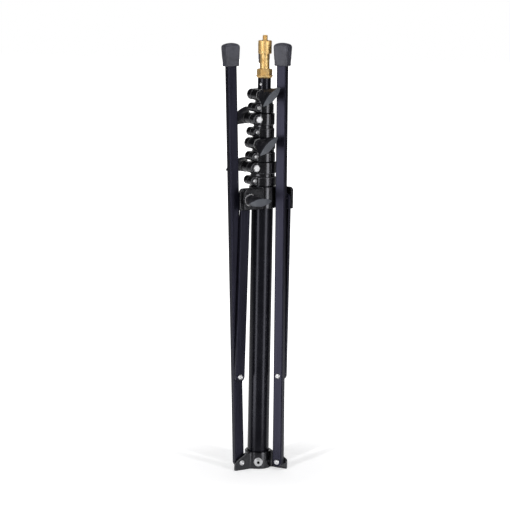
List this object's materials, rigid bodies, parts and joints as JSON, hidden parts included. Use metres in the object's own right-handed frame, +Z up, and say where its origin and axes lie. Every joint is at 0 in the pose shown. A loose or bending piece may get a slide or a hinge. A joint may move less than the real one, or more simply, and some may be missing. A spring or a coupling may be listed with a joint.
{
  "type": "compact light stand",
  "caption": "Folding lighting stand with a clamped telescopic column, brass spigot and legs that fold up around the column on struts from a sliding collar.",
  "frame": {"origin": "on the column's axis, at the flat underside of the base casting", "axes": "+Z up along the column towards the spigot, -Y towards the front of the slider's clamp"},
  "size_m": [0.088, 0.0995, 0.5235],
  "materials": {
    "black_anodised_tube": "black anodised, satin gloss",
    "black_leg_profile": "black coated, satin",
    "black_casting": "black die casting, satin",
    "black_knob": "moulded, fine texture",
    "rubber_foot": "moulded rubber, matt",
    "nylon_plug": "natural nylon",
    "plated_steel": "bright zinc plated",
    "brass_spigot": "turned brass"
  },
  "bodies": {
    "base": {"base_casting": "black_casting", "base_bolt": "plated_steel", "base_washer": "plated_steel", "base_rivet_1": "plated_steel", "base_rivet_2": "plated_steel", "base_rivet_3": "plated_steel", "main_tube": "black_anodised_tube", "collar_1": "black_casting", "fixing_screw_1": "plated_steel", "clamp_bolt_1": "plated_steel", "knob_washer_1": "plated_steel"},
    "riser_1": {"riser_1": "black_anodised_tube", "riser_plug_1": "nylon_plug", "collar_2": "black_casting", "fixing_screw_2": "plated_steel", "clamp_bolt_2": "plated_steel", "knob_washer_2": "plated_steel"},
    "riser_2": {"riser_2": "black_anodised_tube", "riser_plug_2": "nylon_plug", "collar_3": "black_casting", "fixing_screw_3": "plated_steel", "clamp_bolt_3": "plated_steel", "knob_washer_3": "plated_steel"},
    "riser_3": {"riser_3": "black_anodised_tube", "riser_plug_3": "nylon_plug", "collar_4": "black_casting", "fixing_screw_4": "plated_steel", "clamp_bolt_4": "plated_steel", "knob_washer_4": "plated_steel"},
    "riser_4": {"riser_4": "black_anodised_tube", "riser_plug_4": "nylon_plug", "spigot": "brass_spigot", "spigot_pin": "plated_steel"},
    "slider": {"slider": "black_casting", "slider_bolt": "plated_steel", "slider_washer": "plated_steel", "top_rivet_2": "plated_steel", "top_rivet_3": "plated_steel"},
    "leg_1": {"leg_1": "black_leg_profile", "foot_1": "rubber_foot", "mid_rivet_1": "plated_steel"},
    "strut_1": {"strut_1": "black_leg_profile"},
    "leg_2": {"leg_2": "black_leg_profile", "foot_2": "rubber_foot", "mid_rivet_2": "plated_steel"},
    "strut_2": {"strut_2": "black_leg_profile"},
    "leg_3": {"leg_3": "black_leg_profile", "foot_3": "rubber_foot", "mid_rivet_3": "plated_steel"},
    "strut_3": {"strut_3": "black_leg_profile"},
    "clamp_knob_1": {"clamp_knob_1": "black_knob"},
    "clamp_knob_2": {"clamp_knob_2": "black_knob"},
    "clamp_knob_3": {"clamp_knob_3": "black_knob"},
    "clamp_knob_4": {"clamp_knob_4": "black_knob"},
    "slider_knob": {"slider_knob": "black_knob"}
  },
  "joints": [
    {"name": "riser_1_slide", "type": "slide", "parent": "base", "child": "riser_1", "axis": [0, 0, 1], "range_m": [0, 0.275]},
    {"name": "riser_2_slide", "type": "slide", "parent": "riser_1", "child": "riser_2", "axis": [0, 0, 1], "range_m": [0, 0.295]},
    {"name": "riser_3_slide", "type": "slide", "parent": "riser_2", "child": "riser_3", "axis": [0, 0, 1], "range_m": [0, 0.314]},
    {"name": "riser_4_slide", "type": "slide", "parent": "riser_3", "child": "riser_4", "axis": [0, 0, 1], "range_m": [0, 0.332]},
    {"name": "leg_1_fold", "type": "hinge", "parent": "base", "child": "leg_1", "pos_m": [-0.02425, -0.014, 0.0095], "axis": [0.5, -0.866, 0], "range_deg": [0, 107.8]},
    {"name": "leg_2_fold", "type": "hinge", "parent": "base", "child": "leg_2", "pos_m": [0.02425, -0.014, 0.0095], "axis": [0.5, 0.866, 0], "range_deg": [0, 110.51]},
    {"name": "leg_3_fold", "type": "hinge", "parent": "base", "child": "leg_3", "pos_m": [0, 0.028, 0.0095], "axis": [-1, 0, 0], "range_deg": [0, 109.4]},
    {"name": "slider_slide", "type": "slide", "parent": "base", "child": "slider", "axis": [0, 0, -1], "range_m": [0, 0.1682]},
    {"name": "strut_1_swing", "type": "hinge", "parent": "leg_1", "child": "strut_1", "pos_m": [-0.0278, -0.01605, 0.11622], "axis": [-0.5, 0.866, 0], "range_deg": [0, 134.5]},
    {"name": "strut_2_swing", "type": "hinge", "parent": "leg_2", "child": "strut_2", "pos_m": [0.02344, -0.01353, 0.1163], "axis": [-0.5, -0.866, 0], "range_deg": [0, 138.54]},
    {"name": "strut_3_swing", "type": "hinge", "parent": "leg_3", "child": "strut_3", "pos_m": [0, 0.02912, 0.11629], "axis": [1, 0, 0], "range_deg": [0, 136.9]},
    {"name": "clamp_knob_1_turn", "type": "hinge", "parent": "base", "child": "clamp_knob_1", "pos_m": [-0.02091, 0.00421, 0.3677], "axis": [-0.5, 0.866, 0], "range_deg": [0, 270]},
    {"name": "clamp_knob_2_turn", "type": "hinge", "parent": "riser_1", "child": "clamp_knob_2", "pos_m": [-0.00568, -0.01956, 0.3965], "axis": [0.5, -0.866, 0], "range_deg": [0, 270]},
    {"name": "clamp_knob_3_turn", "type": "hinge", "parent": "riser_2", "child": "clamp_knob_3", "pos_m": [-0.01866, 0.00551, 0.4253], "axis": [-0.5, 0.866, 0], "range_deg": [0, 270]},
    {"name": "clamp_knob_4_turn", "type": "hinge", "parent": "riser_3", "child": "clamp_knob_4", "pos_m": [-0.00343, -0.01826, 0.4541], "axis": [0.5, -0.866, 0], "range_deg": [0, 270]},
    {"name": "slider_knob_turn", "type": "hinge", "parent": "slider", "child": "slider_knob", "pos_m": [-0.01485, -0.03028, 0.33155], "axis": [0.5, -0.866, 0], "range_deg": [0, 270]}
  ],
  "couplings": [
    {"joint": "leg_2_fold", "follows": "leg_1_fold", "ratio": 1.0251},
    {"joint": "leg_3_fold", "follows": "leg_1_fold", "ratio": 1.0148},
    {"joint": "slider_slide", "follows": "leg_1_fold", "m_per_rad": 0.089375},
    {"joint": "strut_1_swing", "follows": "leg_1_fold", "ratio": 1.2477},
    {"joint": "strut_2_swing", "follows": "leg_1_fold", "ratio": 1.2852},
    {"joint": "strut_3_swing", "follows": "leg_1_fold", "ratio": 1.2699}
  ]
}
